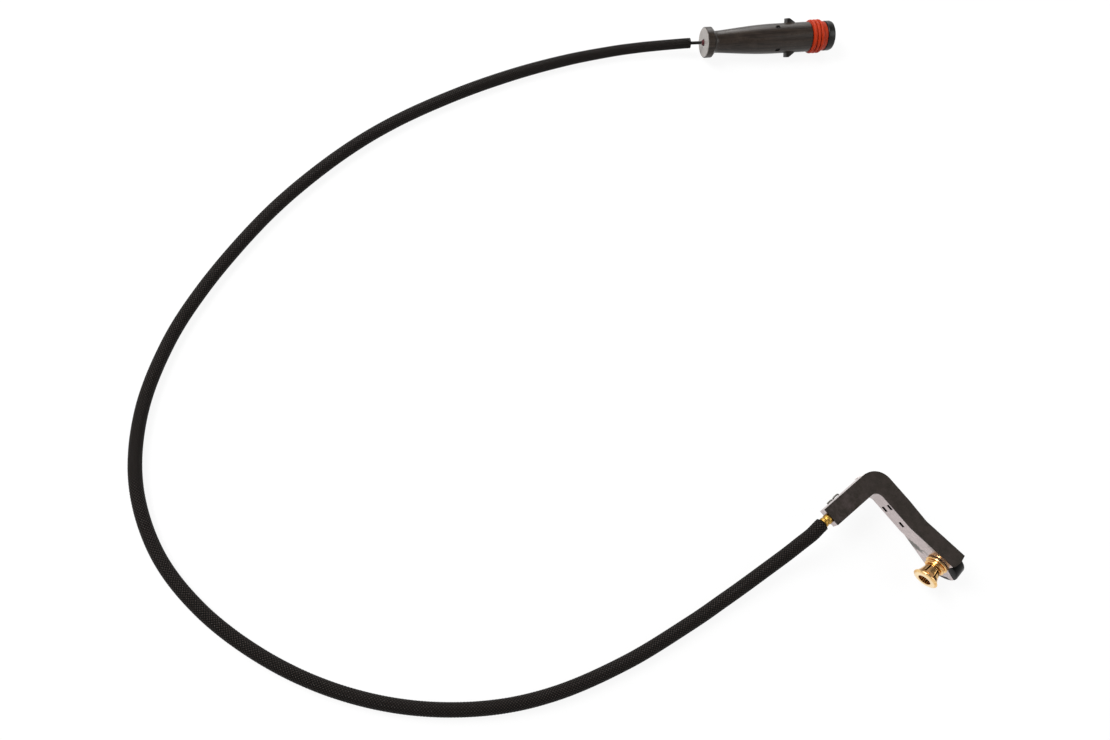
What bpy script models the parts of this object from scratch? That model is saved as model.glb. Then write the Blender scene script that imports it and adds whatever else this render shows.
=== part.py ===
"""Brake pad wear sensor: bracket with slotted brass bush, sleeved lead and round sealed connector.

The bracket lies with its long arm along X and its bush pointing along -Y, top face up (+Z).
The lead and the connector lie on the same floor. All dimensions below are in millimetres and are
turned into metres by MM.
"""
import math

import bmesh
import bpy
from mathutils import Matrix, Vector

MM = 0.001
GAP = 0.3                     # clearance between pieces that touch in real life

# Bracket
SHEET = 0.8                   # sheet thickness of the carrier
ARM_WIDTH = 9.2               # width of the short arm across
BAR_WIDTH = 8.8               # width of the long arm across, near the bend
SHORT_END_Y = -27.0           # end of the short arm
OUTER_X = -12.6               # outer side of the short arm
BEND_OUTER = 9.0              # outer bend radius
BEND_INNER = 4.0              # inner fillet radius
MID_Z = 14.5                  # height of the straight band's middle over the floor
BAND_HALF = 5.3               # half height of the straight band
TOP_COVER = 0.6               # thickness of the black cover over the sheet
TRAY_DEPTH = 5.8              # depth of the short arm's tray below the top face
KNEE_X = 19.0                 # where the long arm bends outwards
KNEE = 7.0                    # by how many degrees
LOW_START = 2.5               # past the knee, where the lower edge starts to drop
LOW_WIDTH = 8.0               # width across past the knee
ROUND_END = 7.5               # radius of the carrier's round end
ROUND_AT = (22.9, 8.2)        # its centre: past the knee, height
TAB = ((32.0, 6.9), (32.7, 7.7), (32.6, 8.8), (31.9, 9.7), (29.6, 10.9), (27.2, 12.6), (26.0, 14.2), (25.7, 15.8))
HEAD_RADIUS = 9.1
HEAD_AT = (23.9, 9.1)
HEAD_BACK = 6.9
BUSH_AT = (21.9, 10.9)        # bush axis: past the knee, height
STEM_RADIUS = 2.5
STEM_REACH = 6.6
CONTACT_RADIUS = 1.3
CONTACT_LENGTH = 3.0
SLOT_LENGTH = 2.9
SLOT_HEIGHT = 2.0
SLOTS = ((6.5, 2.55), (6.5, -2.55), (16.3, 0.0))      # along the arm, above or below the mid line

# Bush, measured from the carrier's face outwards
RIM_RADIUS = 5.95
RIM_REACH = 11.0
TUBE_RADIUS = 3.6
BUSH_BORE = 2.9
MOUTH = 0.25                  # bevel of the bore at the rim
SHOULDER_RADIUS = 5.3
SHOULDER_THICK = 1.1
RING_RADIUS = 4.75
RING_THICK = 0.9
RING_START = 2.4
BUSH_SLOTS = 6
BUSH_SLOT_WIDTH = 0.8

# Ferrule and clip wires on the short arm
FERRULE_X = -8.0
FERRULE_Z = 16.9
FERRULE_RADIUS = 2.0
FERRULE_REACH = 4.3
CLIP_WIRE = 0.8

# Sleeve and leads
SLEEVE = 6.5
SLEEVE_THIN = 0.85            # the sleeve's share of its width at the connector
SLEEVE_THIN_RUN = 120.0       # and the length over which it narrows
LEAD = 1.0
LEAD_SPREAD = 0.65

# Connector
CONN_LENGTH = 74.4
CONN_BARREL = 8.1
CONN_FLANGE = 8.3
CONN_FLANGE_THICK = 4.7
CONN_NECK = 5.9
SWELL = 34.7                  # length over which the neck swells to the barrel
SEAL_RADIUS = 9.15
SEAL_START = 61.1
SEAL_LENGTH = 8.6
LUG_START = 47.8
LUG_LENGTH = 4.6
LUG_REACH = 10.5
LUG_ROLL = 34.0               # roll of the lugs out of the level, degrees
DIMPLE_START = 39.9
DIMPLE_LONG = 2.5
DIMPLE_WIDE = 2.2
DIMPLE_DEEP = 1.0
SOCKET_RADIUS = 5.6
SOCKET_DEPTH = 11.0
PIN_RADIUS = 0.8
PIN_REACH = 4.8
PIN_APART = 4.2

# Places of the connector and route of the sleeve, in the bracket's own axes
CONN_BACK = (-240.2, 105.7)
CONN_ANGLE = 58.9
ROUTE = (
    (-8.0, -31.8, 16.9), (-7.8, -34.7, 16.7), (-7.4, -38.7, 15.8), (-7.4, -44.6, 13.5), (-7.4, -52.6, 10.3),
    (-7.9, -63.9, 7.2), (-8.6, -75.8, 5.0), (-9.7, -88.9, 4.0), (-11.8, -108.9, 3.6), (-17.1, -142.4, 3.6),
    (-27.0, -176.7, 3.6), (-41.7, -205.4, 3.6), (-63.4, -232.1, 3.6), (-90.0, -253.8, 3.6),
    (-120.4, -269.8, 3.6), (-153.8, -279.7, 3.6), (-186.7, -281.0, 3.6), (-218.7, -271.3, 3.6),
    (-245.8, -251.1, 3.6), (-266.7, -223.5, 3.6), (-280.8, -194.2, 3.6), (-292.2, -159.5, 3.6),
    (-298.8, -128.8, 3.6), (-302.2, -93.6, 3.6), (-301.3, -60.9, 3.6), (-295.8, -24.7, 3.6),
    (-287.8, 8.3, 3.6), (-278.1, 37.6, 3.75), (-267.8, 61.7, 4.2), (-259.8, 76.7, 5.2),
    (-253.3, 87.1, 6.4), (-247.4, 96.0, 7.6), (-244.8, 99.9, 8.0),
)


for old in list(bpy.data.objects):
    bpy.data.objects.remove(old, do_unlink=True)

PLACED = {}
MATERIALS = {}


def material(name, colour, metallic, roughness):
    if name not in MATERIALS:
        made = bpy.data.materials.new(name)
        made.use_nodes = True
        shader = made.node_tree.nodes["Principled BSDF"]
        shader.inputs["Base Color"].default_value = (*colour, 1.0)
        shader.inputs["Metallic"].default_value = metallic
        shader.inputs["Roughness"].default_value = roughness
        MATERIALS[name] = made
    return MATERIALS[name]


STEEL = material("carrier_steel", (0.62, 0.60, 0.58), 0.9, 0.35)
BLACK = material("black_moulding", (0.045, 0.040, 0.036), 0.0, 0.55)
GLOSS = material("head_plastic", (0.02, 0.02, 0.02), 0.0, 0.25)
BRASS = material("bush_brass", (0.75, 0.47, 0.16), 1.0, 0.25)
WIRE_STEEL = material("wire_steel", (0.32, 0.32, 0.30), 0.9, 0.4)
CLOTH = material("sleeve_cloth", (0.012, 0.011, 0.010), 0.0, 0.8)
RUBBER = material("lead_rubber", (0.02, 0.018, 0.018), 0.0, 0.5)
RED = material("seal_rubber", (0.42, 0.035, 0.012), 0.0, 0.45)
SHELL = material("connector_plastic", (0.045, 0.040, 0.036), 0.0, 0.45)
TIN = material("pin_metal", (0.70, 0.69, 0.66), 1.0, 0.3)
COPPER = material("contact_metal", (0.55, 0.28, 0.16), 1.0, 0.35)


def shade(mesh, smooth):
    for face in mesh.polygons:
        face.use_smooth = smooth


def as_object(name, built, surface, smooth):
    bmesh.ops.remove_doubles(built, verts=built.verts, dist=1e-7)
    bmesh.ops.recalc_face_normals(built, faces=built.faces)
    mesh = bpy.data.meshes.new(name)
    built.to_mesh(mesh)
    built.free()
    made = bpy.data.objects.new(name, mesh)
    bpy.context.scene.collection.objects.link(made)
    if surface is not None:
        mesh.materials.append(surface)
    shade(mesh, smooth)
    return made


def scaled(points):
    return [Vector([value * MM for value in point]) for point in points]


def prism(name, outline, low, high, plane, surface=None):
    """A straight prism over a closed outline; plane says which two axes the outline is in."""
    built = bmesh.new()
    rings = []
    for level in (low, high):
        ring = []
        for a, b in outline:
            place = {"XY": (a, b, level), "XZ": (a, level, b), "YZ": (level, a, b)}[plane]
            ring.append(built.verts.new(scaled([place])[0]))
        rings.append(ring)
    count = len(outline)
    built.faces.new(rings[0])
    built.faces.new(list(reversed(rings[1])))
    for index in range(count):
        after = (index + 1) % count
        built.faces.new((rings[0][index], rings[0][after], rings[1][after], rings[1][index]))
    return as_object(name, built, surface, False)


def box(name, low, high, surface=None):
    outline = ((low[0], low[1]), (high[0], low[1]), (high[0], high[1]), (low[0], high[1]))
    return prism(name, outline, low[2], high[2], "XY", surface)


def lathe(name, profile, surface=None, segments=48, place=None):
    """A solid of revolution about its own Z, from (radius, height) pairs; place moves it."""
    built = bmesh.new()
    rings = []
    for radius, height in profile:
        if radius < 1e-6:
            rings.append([built.verts.new((0.0, 0.0, height * MM))])
            continue
        ring = []
        for step in range(segments):
            turn = 2 * math.pi * step / segments
            ring.append(built.verts.new((radius * MM * math.cos(turn), radius * MM * math.sin(turn), height * MM)))
        rings.append(ring)
    closed = len(profile) > 2 and rings[0] is not None and profile[0][0] > 1e-6 and profile[-1][0] > 1e-6
    pairs = list(zip(rings, rings[1:]))
    if closed:
        pairs.append((rings[-1], rings[0]))
    for first, second in pairs:
        for step in range(segments):
            after = (step + 1) % segments
            if len(first) == 1 and len(second) == 1:
                continue
            if len(first) == 1:
                built.faces.new((first[0], second[step], second[after]))
            elif len(second) == 1:
                built.faces.new((first[step], second[0], first[after]))
            else:
                built.faces.new((first[step], second[step], second[after], first[after]))
    made = as_object(name, built, surface, True)
    if place is not None:
        made.data.transform(place)
    return made


def combine(target, cutter, mode):
    change = target.modifiers.new("change", "BOOLEAN")
    change.operation = mode
    change.solver = "EXACT"
    change.object = cutter
    bpy.context.view_layer.update()
    graph = bpy.context.evaluated_depsgraph_get()
    fresh = bpy.data.meshes.new_from_object(target.evaluated_get(graph))
    fresh.name = target.name
    target.modifiers.remove(change)
    old_mesh = target.data
    target.data = fresh
    bpy.data.meshes.remove(old_mesh)
    bpy.data.objects.remove(cutter, do_unlink=True)
    return target


def soften(target, width, segments=2, angle=40.0):
    change = target.modifiers.new("edge", "BEVEL")
    change.width = width * MM
    change.segments = segments
    change.limit_method = "ANGLE"
    change.angle_limit = math.radians(angle)
    change.harden_normals = False
    bpy.context.view_layer.update()
    graph = bpy.context.evaluated_depsgraph_get()
    fresh = bpy.data.meshes.new_from_object(target.evaluated_get(graph))
    target.modifiers.remove(change)
    old_mesh = target.data
    target.data = fresh
    bpy.data.meshes.remove(old_mesh)
    return target


def arc(centre, radius, start, end, steps):
    points = []
    for step in range(steps + 1):
        turn = math.radians(start + (end - start) * step / steps)
        points.append((centre[0] + radius * math.cos(turn), centre[1] + radius * math.sin(turn)))
    return points


def grown(outline, amount):
    """The outline moved outwards by an amount, corner by corner."""
    count = len(outline)
    area = 0.0
    for index in range(count):
        here = outline[index]
        after = outline[(index + 1) % count]
        area += here[0] * after[1] - after[0] * here[1]
    side = 1.0 if area > 0 else -1.0
    moved = []
    for index in range(count):
        before = Vector(outline[index - 1])
        here = Vector(outline[index])
        after = Vector(outline[(index + 1) % count])
        first = (here - before).normalized()
        second = (after - here).normalized()
        out = Vector((first.y + second.y, -first.x - second.x)).normalized() * side
        lean = max(out.dot(Vector((first.y, -first.x)) * side), 0.5)
        spot = here + out * (amount / lean)
        moved.append((spot.x, spot.y))
    return moved


def keep(target):
    PLACED[target.name] = target
    return target


KNEE_TURN = Matrix.Translation(Vector((KNEE_X * MM, 0.0, 0.0))) @ Matrix.Rotation(math.radians(KNEE), 4, "Z")


def past_knee(along, out):
    """A plan point given along and out of the arm past the knee."""
    spot = KNEE_TURN @ Vector((along * MM, out * MM, 0.0))
    return (spot.x / MM, spot.y / MM)


def through_end(at):
    """Placing of a turned piece on an axis square to the round end; its heights run away from the cover."""
    place = Matrix.Translation(Vector((at[0], 0.0, at[1])) * MM)
    return KNEE_TURN @ place @ Matrix.Rotation(math.radians(90), 4, "X")


# Carrier: one folded piece of sheet. Inner wall of both arms, tray under the short arm, round end.
INNER_X = OUTER_X + ARM_WIDTH
COVER_TOP = MID_Z + BAND_HALF
WALL_TOP = COVER_TOP - TOP_COVER - GAP
WALL_LOW = MID_Z - BAND_HALF
TRAY_Z = COVER_TOP - TRAY_DEPTH
FILLET = (INNER_X + BEND_INNER, -BEND_INNER)

carrier = box("carrier_plate", (FILLET[0], 0.0, WALL_LOW), (KNEE_X + 0.09, SHEET, WALL_TOP), STEEL)
reach = math.hypot(ROUND_AT[0] - LOW_START, ROUND_AT[1] - WALL_LOW)
slope = math.atan2(ROUND_AT[1] - WALL_LOW, ROUND_AT[0] - LOW_START) - math.asin(ROUND_END / reach)
lower_turn = math.degrees(slope) - 90.0
flag = [(0.0, WALL_LOW), (LOW_START, WALL_LOW)] + arc(ROUND_AT, ROUND_END, lower_turn, -15.0, 30)
flag += list(TAB) + [(TAB[-1][0], WALL_TOP), (0.0, WALL_TOP)]
lower_plate = prism("lower_plate", flag, 0.0, SHEET, "XZ")
lower_plate.data.transform(KNEE_TURN)
combine(carrier, lower_plate, "UNION")

fillet_wall = arc(FILLET, BEND_INNER, 90.0, 180.0, 10) + arc(FILLET, BEND_INNER + SHEET, 180.0, 90.0, 10)
combine(carrier, prism("wall_bend", fillet_wall, WALL_LOW, WALL_TOP, "XY"), "UNION")
side = ((FILLET[1], WALL_TOP), (FILLET[1], WALL_LOW), (SHORT_END_Y + 9.0, WALL_LOW),
        (SHORT_END_Y + 5.0, TRAY_Z), (SHORT_END_Y, TRAY_Z), (SHORT_END_Y, WALL_TOP))
combine(carrier, prism("wall_short", side, INNER_X - SHEET, INNER_X, "YZ"), "UNION")
tray_back = -0.6
combine(carrier, box("tray_floor", (OUTER_X, SHORT_END_Y, TRAY_Z), (INNER_X - SHEET / 2, tray_back, TRAY_Z + 0.6)), "UNION")
combine(carrier, box("tray_side", (OUTER_X, SHORT_END_Y, TRAY_Z), (OUTER_X + SHEET, tray_back, WALL_TOP)), "UNION")
combine(carrier, box("tray_end", (OUTER_X, SHORT_END_Y, TRAY_Z), (INNER_X, SHORT_END_Y + SHEET, WALL_TOP)), "UNION")
notch = FERRULE_RADIUS + GAP
saddle = [(FERRULE_X - notch, WALL_TOP + 2.0)] + arc((FERRULE_X, FERRULE_Z), notch, 180.0, 360.0, 16)
saddle += [(FERRULE_X + notch, WALL_TOP + 2.0)]
combine(carrier, prism("saddle", saddle, SHORT_END_Y - 2.0, SHORT_END_Y + 3.0, "XZ"), "DIFFERENCE")
for along, above in SLOTS:
    low = (along - SLOT_LENGTH / 2, -2.0, MID_Z + above - SLOT_HEIGHT / 2)
    high = (along + SLOT_LENGTH / 2, 3.0, MID_Z + above + SLOT_HEIGHT / 2)
    combine(carrier, box("slot", low, high), "DIFFERENCE")
on_bush = through_end(BUSH_AT)
hole = lathe("hole", ((0.0, -6.0), (STEM_RADIUS + GAP, -6.0), (STEM_RADIUS + GAP, 6.0), (0.0, 6.0)), None, 40, on_bush)
combine(carrier, hole, "DIFFERENCE")
keep(carrier)

# Black cover and filling of both arms, one moulding.
outer_bend = arc((OUTER_X + BEND_OUTER, BAR_WIDTH - BEND_OUTER), BEND_OUTER, 180.0, 90.0, 18)
far_side = [past_knee(26.4, LOW_WIDTH + 0.15), past_knee(3.5, LOW_WIDTH - 0.05), (10.0, BAR_WIDTH)]
tail = [past_knee(25.5, 0.0), past_knee(26.1, 0.5), past_knee(26.5, 1.7), past_knee(27.0, 4.4)]
plan = [(INNER_X, SHORT_END_Y)] + arc(FILLET, BEND_INNER, 180.0, 90.0, 12) + [(KNEE_X, 0.0)] + tail + far_side
plan += list(reversed(outer_bend)) + [(OUTER_X, SHORT_END_Y)]
guide = prism("cable_guide", plan, COVER_TOP - TOP_COVER, COVER_TOP, "XY", BLACK)
inset = SHEET + GAP
end_y = SHORT_END_Y + SHEET + 2 * GAP + 0.3
filling_plan = [(INNER_X - inset, end_y)] + arc(FILLET, BEND_INNER + inset, 180.0, 90.0, 12)
filling_plan += [past_knee(-0.08, inset), past_knee(25.5, inset)] + far_side + list(reversed(outer_bend))
filling_plan += [(OUTER_X, tray_back + GAP), (OUTER_X + inset, tray_back + GAP), (OUTER_X + inset, end_y)]
filling = prism("filling", filling_plan, TRAY_Z + 0.6 + GAP, COVER_TOP - TOP_COVER / 2, "XY")
combine(guide, filling, "UNION")
deep_turn = math.degrees(math.acos((tray_back + GAP - FILLET[1]) / (BEND_INNER + inset))) + 90.0
deep_plan = arc(FILLET, BEND_INNER + inset, deep_turn, 90.0, 6) + [past_knee(-0.08, inset), past_knee(25.5, inset)]
deep_plan += far_side + list(reversed(outer_bend)) + [(OUTER_X, tray_back + GAP)]
combine(guide, prism("deep", deep_plan, WALL_LOW + 0.5, COVER_TOP - TOP_COVER / 2, "XY"), "UNION")
on_head = through_end(HEAD_AT)
head_room = HEAD_RADIUS + GAP
room = lathe("head_room", ((0.0, -15.0), (head_room, -15.0), (head_room, 15.0), (0.0, 15.0)), None, 72, on_head)
under_cover = box("under_cover", (0.0, -20.0, 0.0), (90.0, 40.0, COVER_TOP - TOP_COVER))
combine(room, under_cover, "INTERSECT")
combine(guide, room, "DIFFERENCE")
keep(guide)

# Sensor head behind the round end, with the stem that runs through the carrier into the bush.
head_profile = ((0.0, -HEAD_BACK), (HEAD_RADIUS - 1.2, -HEAD_BACK), (HEAD_RADIUS - 0.4, -HEAD_BACK + 0.35),
                (HEAD_RADIUS, -HEAD_BACK + 1.2), (HEAD_RADIUS, -0.5), (HEAD_RADIUS - 0.5, 0.0), (0.0, 0.0))
head = lathe("sensor_head", head_profile, GLOSS, 64, on_head)
plate_room = prism("plate_room", grown(flag, GAP), -2.0, inset, "XZ")
plate_room.data.transform(KNEE_TURN)
combine(head, plate_room, "DIFFERENCE")
stem_profile = ((0.0, -inset - 2.0), (STEM_RADIUS, -inset - 2.0), (STEM_RADIUS, STEM_REACH - 0.4),
                (STEM_RADIUS - 0.4, STEM_REACH), (0.0, STEM_REACH))
combine(head, lathe("stem", stem_profile, None, 40, on_bush), "UNION")
pocket = CONTACT_RADIUS + GAP
floor = STEM_REACH - CONTACT_LENGTH - GAP
combine(head, lathe("pocket", ((0.0, floor), (pocket, floor), (pocket, STEM_REACH + 1.0), (0.0, STEM_REACH + 1.0)),
                    None, 32, on_bush), "DIFFERENCE")
shade(head.data, True)
keep(head)
contact_profile = ((0.0, STEM_REACH - CONTACT_LENGTH), (CONTACT_RADIUS, STEM_REACH - CONTACT_LENGTH),
                   (CONTACT_RADIUS, STEM_REACH - 0.2), (CONTACT_RADIUS - 0.2, STEM_REACH), (0.0, STEM_REACH))
keep(lathe("wear_contact", contact_profile, COPPER, 32, on_bush))

# Bush: shoulder, seat of the ring, slotted tube and flared rim. Heights run outwards from the carrier.
neck = TUBE_RADIUS
shoulder = GAP + SHOULDER_THICK
bush_profile = (
    (BUSH_BORE, GAP), (SHOULDER_RADIUS - 0.3, GAP), (SHOULDER_RADIUS, GAP + 0.3), (SHOULDER_RADIUS, shoulder - 0.3),
    (SHOULDER_RADIUS - 0.3, shoulder), (neck + 0.15, shoulder), (neck, shoulder + 0.2), (neck, RING_START + RING_THICK),
    (neck + 0.15, RIM_REACH - 6.6), (neck + 0.4, RIM_REACH - 5.6), (neck + 0.7, RIM_REACH - 4.4),
    (neck + 1.05, RIM_REACH - 3.3), (neck + 1.5, RIM_REACH - 2.4), (RIM_RADIUS - 0.45, RIM_REACH - 1.7),
    (RIM_RADIUS - 0.1, RIM_REACH - 1.35), (RIM_RADIUS, RIM_REACH - 1.1), (RIM_RADIUS, RIM_REACH - 0.85),
    (RIM_RADIUS - 0.35, RIM_REACH - 0.45), (RIM_RADIUS - 1.0, RIM_REACH - 0.15), (RIM_RADIUS - 1.7, RIM_REACH),
    (BUSH_BORE + MOUTH, RIM_REACH), (BUSH_BORE, RIM_REACH - MOUTH))
bush = lathe("contact_bush", bush_profile, BRASS, 64, on_bush)
for step in range(BUSH_SLOTS):
    turn = Matrix.Rotation(math.radians(360.0 * step / BUSH_SLOTS + 15.0), 4, "Z")
    cut = box("cut", (BUSH_BORE - 1.0, -BUSH_SLOT_WIDTH / 2, RING_START + RING_THICK + 0.6),
              (RIM_RADIUS + 2.0, BUSH_SLOT_WIDTH / 2, RIM_REACH - 2.4))
    cut.data.transform(on_bush @ turn)
    combine(bush, cut, "DIFFERENCE")
shade(bush.data, True)
keep(bush)
ring_end = RING_START + RING_THICK
ring_profile = ((neck + GAP, RING_START), (RING_RADIUS - 0.25, RING_START), (RING_RADIUS, RING_START + 0.25),
                (RING_RADIUS, ring_end - 0.25), (RING_RADIUS - 0.25, ring_end), (neck + GAP, ring_end))
keep(lathe("bush_ring", ring_profile, BRASS, 64, on_bush))

# Ferrule where the sleeve meets the short arm.
ferrule_start = -SHORT_END_Y - SHEET - GAP
ferrule_end = -SHORT_END_Y + FERRULE_REACH
along_arm = Matrix.Translation(Vector((FERRULE_X, 0.0, FERRULE_Z)) * MM) @ Matrix.Rotation(math.radians(90), 4, "X")
wide = FERRULE_RADIUS + 0.5
ferrule_profile = (
    (0.0, ferrule_start), (FERRULE_RADIUS, ferrule_start), (FERRULE_RADIUS, -SHORT_END_Y + GAP),
    (wide, -SHORT_END_Y + GAP), (wide, -SHORT_END_Y + 1.7), (wide - 0.4, -SHORT_END_Y + 2.1),
    (wide - 0.4, -SHORT_END_Y + 2.6), (wide - 0.1, -SHORT_END_Y + 2.9), (wide - 0.1, ferrule_end - 0.3),
    (wide - 0.4, ferrule_end), (0.0, ferrule_end))
keep(lathe("lead_ferrule", ferrule_profile, BRASS, 40, along_arm))


def tube(name, points, radius, surface, sides=12):
    """A round rod along points, closed at both ends."""
    built = bmesh.new()
    rings = []
    places = [Vector(point) for point in points]
    up = Vector((0.0, 0.0, 1.0))
    for index, place in enumerate(places):
        before = places[max(index - 1, 0)]
        after = places[min(index + 1, len(places) - 1)]
        ahead = (after - before).normalized()
        first = up.cross(ahead)
        if first.length < 0.05:
            first = Vector((1.0, 0.0, 0.0)).cross(ahead)
        first.normalize()
        second = ahead.cross(first)
        ring = []
        for step in range(sides):
            turn = 2 * math.pi * step / sides
            spot = place + (first * math.cos(turn) + second * math.sin(turn)) * radius
            ring.append(built.verts.new(spot * MM))
        rings.append(ring)
    for first, second in zip(rings, rings[1:]):
        for step in range(sides):
            after = (step + 1) % sides
            built.faces.new((first[step], first[after], second[after], second[step]))
    built.faces.new(list(reversed(rings[0])))
    built.faces.new(rings[-1])
    return as_object(name, built, surface, True)


# Two small clip wires on the outer side of the short arm.
for name, start, end, reach in (("clip_wire_lower", -22.9, -20.1, 0.25), ("clip_wire_upper", -19.2, -15.8, 0.45)):
    wall = OUTER_X - GAP - CLIP_WIRE / 2
    middle = (start + end) / 2
    half = (end - start) / 2
    path = [(wall, start, FERRULE_Z + 0.2)]
    for step in range(1, 10):
        turn = math.pi * step / 10
        path.append((wall - reach * math.sin(turn), middle - half * math.cos(turn),
                     FERRULE_Z + 0.2 + 0.6 * math.sin(turn)))
    path.append((wall, end, FERRULE_Z + 0.2))
    keep(tube(name, path, CLIP_WIRE / 2, WIRE_STEEL, 10))


def smooth_route(points, count):
    """Evenly spaced places on a smooth curve through the points."""
    knots = [Vector(point) for point in points]
    ends = [knots[0] * 2 - knots[1]] + knots + [knots[-1] * 2 - knots[-2]]
    dense = []
    for index in range(1, len(ends) - 2):
        p0, p1, p2, p3 = ends[index - 1:index + 3]
        for step in range(24):
            t = step / 24
            dense.append(0.5 * ((2 * p1) + (p2 - p0) * t + (2 * p0 - 5 * p1 + 4 * p2 - p3) * t * t
                                + (3 * p1 - p0 - 3 * p2 + p3) * t ** 3))
    dense.append(knots[-1])
    run = [0.0]
    for first, second in zip(dense, dense[1:]):
        run.append(run[-1] + (second - first).length)
    places = []
    here = 0
    for step in range(count):
        want = run[-1] * step / (count - 1)
        while here < len(run) - 2 and run[here + 1] < want:
            here += 1
        share = (want - run[here]) / (run[here + 1] - run[here])
        places.append(dense[here].lerp(dense[here + 1], share))
    return places


def cord(name, points, diameter, surface, resolution, shares=None):
    line = bpy.data.curves.new(name, "CURVE")
    line.dimensions = "3D"
    line.bevel_depth = diameter / 2 * MM
    line.bevel_resolution = resolution
    line.use_fill_caps = True
    spline = line.splines.new("POLY")
    spline.points.add(len(points) - 1)
    for index, place in enumerate(points):
        spline.points[index].co = (*(place * MM), 1.0)
        spline.points[index].radius = shares[index] if shares else 1.0
    made = bpy.data.objects.new(name, line)
    bpy.context.scene.collection.objects.link(made)
    line.materials.append(surface)
    return keep(made)


route = smooth_route(ROUTE, 66)
spacing = (route[1] - route[0]).length
shares = []
for index in range(len(route)):
    left = min((len(route) - 1 - index) * spacing / SLEEVE_THIN_RUN, 1.0)
    shares.append(SLEEVE_THIN + (1.0 - SLEEVE_THIN) * (3 * left ** 2 - 2 * left ** 3))
cord("sleeve", route, SLEEVE, CLOTH, 3, shares)

# Connector: drawn along its own axis from the flange's back face, then laid down and turned.
conn_z = SEAL_RADIUS
heading = Matrix.Rotation(math.radians(CONN_ANGLE), 4, "Z") @ Matrix.Rotation(math.radians(90), 4, "Y")
lay = Matrix.Translation(Vector((CONN_BACK[0], CONN_BACK[1], conn_z)) * MM) @ heading
roll = lay @ Matrix.Rotation(math.radians(LUG_ROLL), 4, "Z")
seal_end = SEAL_START + SEAL_LENGTH
seat_radius = CONN_BARREL - 1.9
shell_profile = [
    (1.9, 0.0), (CONN_FLANGE - 0.6, 0.0), (CONN_FLANGE, 0.5), (CONN_FLANGE, CONN_FLANGE_THICK - 0.9),
    (CONN_FLANGE - 1.0, CONN_FLANGE_THICK), (CONN_NECK + 0.7, CONN_FLANGE_THICK + 0.3),
    (CONN_NECK + 0.2, CONN_FLANGE_THICK + 0.9), (CONN_NECK, CONN_FLANGE_THICK + 2.0)]
for part in range(1, 9):
    share = part / 8
    shell_profile.append((CONN_NECK + (CONN_BARREL - CONN_NECK) * math.sin(share * math.pi / 2) ** 1.2,
                          CONN_FLANGE_THICK + 2.0 + share * SWELL))
shell_profile += [
    (CONN_BARREL, SEAL_START - GAP - 0.3), (CONN_BARREL - 0.3, SEAL_START - GAP), (seat_radius, SEAL_START - GAP),
    (seat_radius, seal_end + GAP), (CONN_BARREL - 0.3, seal_end + GAP), (CONN_BARREL, seal_end + GAP + 0.3),
    (CONN_BARREL, CONN_LENGTH - 1.5), (CONN_BARREL - 0.4, CONN_LENGTH - 0.5), (CONN_BARREL - 1.3, CONN_LENGTH),
    (SOCKET_RADIUS, CONN_LENGTH), (SOCKET_RADIUS, CONN_LENGTH - SOCKET_DEPTH), (0.0, CONN_LENGTH - SOCKET_DEPTH),
    (0.0, 3.0), (1.9, 3.0)]
shell = lathe("connector_shell", shell_profile, SHELL, 64)
for side in (1, -1):
    lug = prism("lug", ((LUG_START, side * (CONN_BARREL - 1.2)), (LUG_START, side * LUG_REACH),
                        (LUG_START + 1.4, side * LUG_REACH), (LUG_START + LUG_LENGTH, side * (CONN_BARREL + 0.1)),
                        (LUG_START + LUG_LENGTH, side * (CONN_BARREL - 1.2))), -2.3, 2.3, "XY")
    lug.data.transform(Matrix(((0, 0, 1, 0), (0, 1, 0, 0), (1, 0, 0, 0), (0, 0, 0, 1))))
    bpy.context.view_layer.update()
    flipped = bmesh.new()
    flipped.from_mesh(lug.data)
    bmesh.ops.recalc_face_normals(flipped, faces=flipped.faces)
    flipped.to_mesh(lug.data)
    flipped.free()
    combine(shell, lug, "UNION")
for turn in (40.0, -40.0, 140.0, 220.0):
    dimple = box("dimple", (CONN_BARREL - DIMPLE_DEEP, -DIMPLE_WIDE / 2, DIMPLE_START),
                 (CONN_BARREL + 1.0, DIMPLE_WIDE / 2, DIMPLE_START + DIMPLE_LONG))
    dimple.data.transform(Matrix.Rotation(math.radians(90.0 + turn), 4, "Z"))
    combine(shell, dimple, "DIFFERENCE")
for turn in (-1.0, 1.0):
    deep = CONN_LENGTH - SOCKET_DEPTH - 4.0
    wide_pin = PIN_RADIUS + GAP
    pin_hole = lathe("pin_hole", ((0.0, deep), (wide_pin, deep), (wide_pin, CONN_LENGTH - 2.0), (0.0, CONN_LENGTH - 2.0)),
                     None, 24, Matrix.Translation(Vector((0.0, PIN_APART / 2 * turn, 0.0)) * MM))
    combine(shell, pin_hole, "DIFFERENCE")
shade(shell.data, True)
shell.data.transform(roll)
keep(shell)

ribs = 3
pitch = 2.1
inside = seat_radius + GAP
seal_profile = [(inside, SEAL_START), (SEAL_RADIUS - 1.0, SEAL_START)]
for index in range(ribs):
    base = SEAL_START + 0.15 + index * pitch
    seal_profile += [(SEAL_RADIUS - 0.3, base + 0.15), (SEAL_RADIUS, base + 0.6), (SEAL_RADIUS, base + 1.25),
                     (SEAL_RADIUS - 0.3, base + 1.7), (SEAL_RADIUS - 1.0, base + 1.9), (SEAL_RADIUS - 1.0, base + 2.2)]
collar = SEAL_RADIUS - 1.15
seal_profile += [(collar, SEAL_START + 6.6), (collar, SEAL_START + SEAL_LENGTH - 0.3),
                 (collar - 0.3, SEAL_START + SEAL_LENGTH), (inside, SEAL_START + SEAL_LENGTH)]
keep(lathe("seal_ring", seal_profile, RED, 64, lay))

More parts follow.
